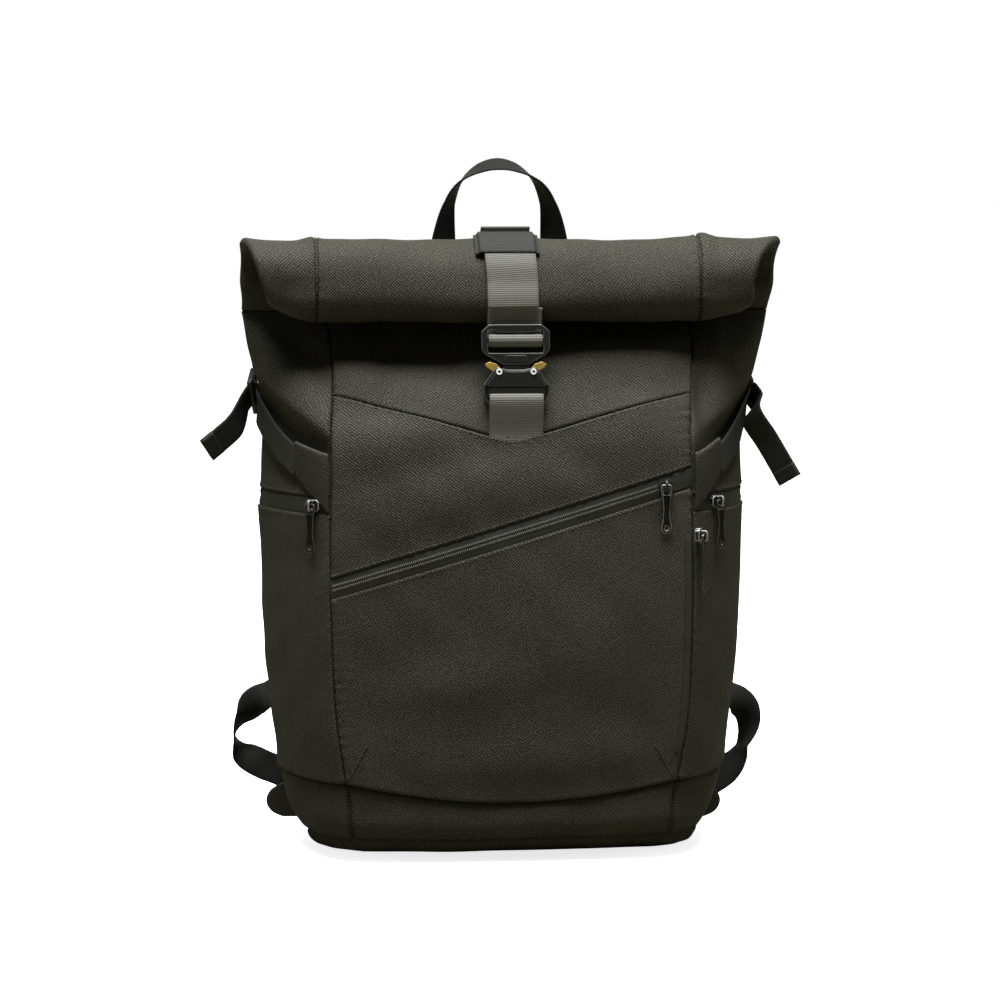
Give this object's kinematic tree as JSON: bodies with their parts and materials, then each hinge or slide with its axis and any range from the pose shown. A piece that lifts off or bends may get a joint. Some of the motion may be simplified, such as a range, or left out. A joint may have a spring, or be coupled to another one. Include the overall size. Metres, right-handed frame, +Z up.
{
  "type": "roll-top backpack",
  "caption": "Soft roll-top backpack standing on its base, with a slanting front zipper, side zip pockets, a closing strap with a metal quick-release buckle, a grab handle and shoulder straps.",
  "frame": {"origin": "middle of the flat bottom that the bag stands on", "axes": "+Z up, -Y the front with the buckle, +Y the back with the shoulder straps, +X the right as seen from the front"},
  "size_m": [0.436, 0.1906, 0.4954],
  "materials": {
    "body_cloth": "heavy crepe-woven polyester, matt",
    "padded_cloth": "padded mesh cloth, matt",
    "webbing": "ribbed nylon webbing",
    "zipper_tape": "coated zipper tape with a covered coil",
    "black_plastic": "moulded nylon",
    "black_metal": "black anodised alloy",
    "gunmetal": "gunmetal plating",
    "gold_metal": "brushed gold plating",
    "bright_metal": "polished steel"
  },
  "bodies": {
    "root": {"yoke_panel": "body_cloth", "front_upper_panel": "body_cloth", "front_pocket_panel": "body_cloth", "front_zip_tape": "zipper_tape", "side_upper_right": "body_cloth", "side_pocket_right": "body_cloth", "side_zip_right_tape": "zipper_tape", "side_upper_left": "body_cloth", "side_pocket_left": "body_cloth", "side_zip_left_tape": "zipper_tape", "back_panel": "padded_cloth", "base": "body_cloth", "roll_collar": "body_cloth", "closing_strap": "webbing", "strap_keeper": "body_cloth", "anchor_strap": "webbing", "buckle_frame": "black_metal", "buckle_body": "black_metal", "buckle_rivet_right": "bright_metal", "buckle_rivet_left": "bright_metal", "front_zip_slider": "gunmetal", "side_zip_left_slider": "gunmetal", "side_zip_right_slider": "gunmetal", "edge_zip_slider": "gunmetal", "compression_tab_left": "body_cloth", "compression_strap_left": "webbing", "compression_lock_left": "black_plastic", "compression_tab_right": "body_cloth", "compression_strap_right": "webbing", "compression_lock_right": "black_plastic", "handle": "webbing", "shoulder_pad_left": "padded_cloth", "strap_lock_left": "black_plastic", "strap_webbing_left": "webbing", "strap_wing_left": "body_cloth", "shoulder_pad_right": "padded_cloth", "strap_lock_right": "black_plastic", "strap_webbing_right": "webbing", "strap_wing_right": "body_cloth"},
    "buckle_lever_right": {"buckle_lever_right": "gold_metal"},
    "buckle_lever_left": {"buckle_lever_left": "gold_metal"},
    "front_zip_pull": {"front_zip_pull": "gunmetal"},
    "side_zip_left_pull": {"side_zip_left_pull": "gunmetal"},
    "side_zip_right_pull": {"side_zip_right_pull": "gunmetal"},
    "edge_zip_pull": {"edge_zip_pull": "gunmetal"}
  },
  "joints": [
    {"name": "buckle_lever_right_squeeze", "type": "hinge", "parent": "root", "child": "buckle_lever_right", "pos_m": [0.015, -0.06693, 0.34604], "axis": [0, -0.9925, 0.1219], "range_deg": [0, 10], "stiffness_Nm_per_rad": 0.05},
    {"name": "buckle_lever_left_squeeze", "type": "hinge", "parent": "root", "child": "buckle_lever_left", "pos_m": [-0.009, -0.06693, 0.34604], "axis": [0, 0.9925, -0.1219], "range_deg": [0, 10], "stiffness_Nm_per_rad": 0.05},
    {"name": "front_zip_pull_swing", "type": "hinge", "parent": "root", "child": "front_zip_pull", "pos_m": [0.10777, -0.08058, 0.2663], "axis": [-1, 0, 0], "range_deg": [0, 120]},
    {"name": "side_zip_left_pull_swing", "type": "hinge", "parent": "root", "child": "side_zip_left_pull", "pos_m": [-0.14129, -0.07282, 0.25411], "axis": [-0.866, 0.5, 0], "range_deg": [0, 120]},
    {"name": "side_zip_right_pull_swing", "type": "hinge", "parent": "root", "child": "side_zip_right_pull", "pos_m": [0.14848, -0.06554, 0.25408], "axis": [-0.866, -0.5, 0], "range_deg": [0, 120]},
    {"name": "edge_zip_pull_swing", "type": "hinge", "parent": "root", "child": "edge_zip_pull", "pos_m": [0.13432, -0.08056, 0.23118], "axis": [-0.4384, -0.8988, 0], "range_deg": [0, 120]}
  ]
}
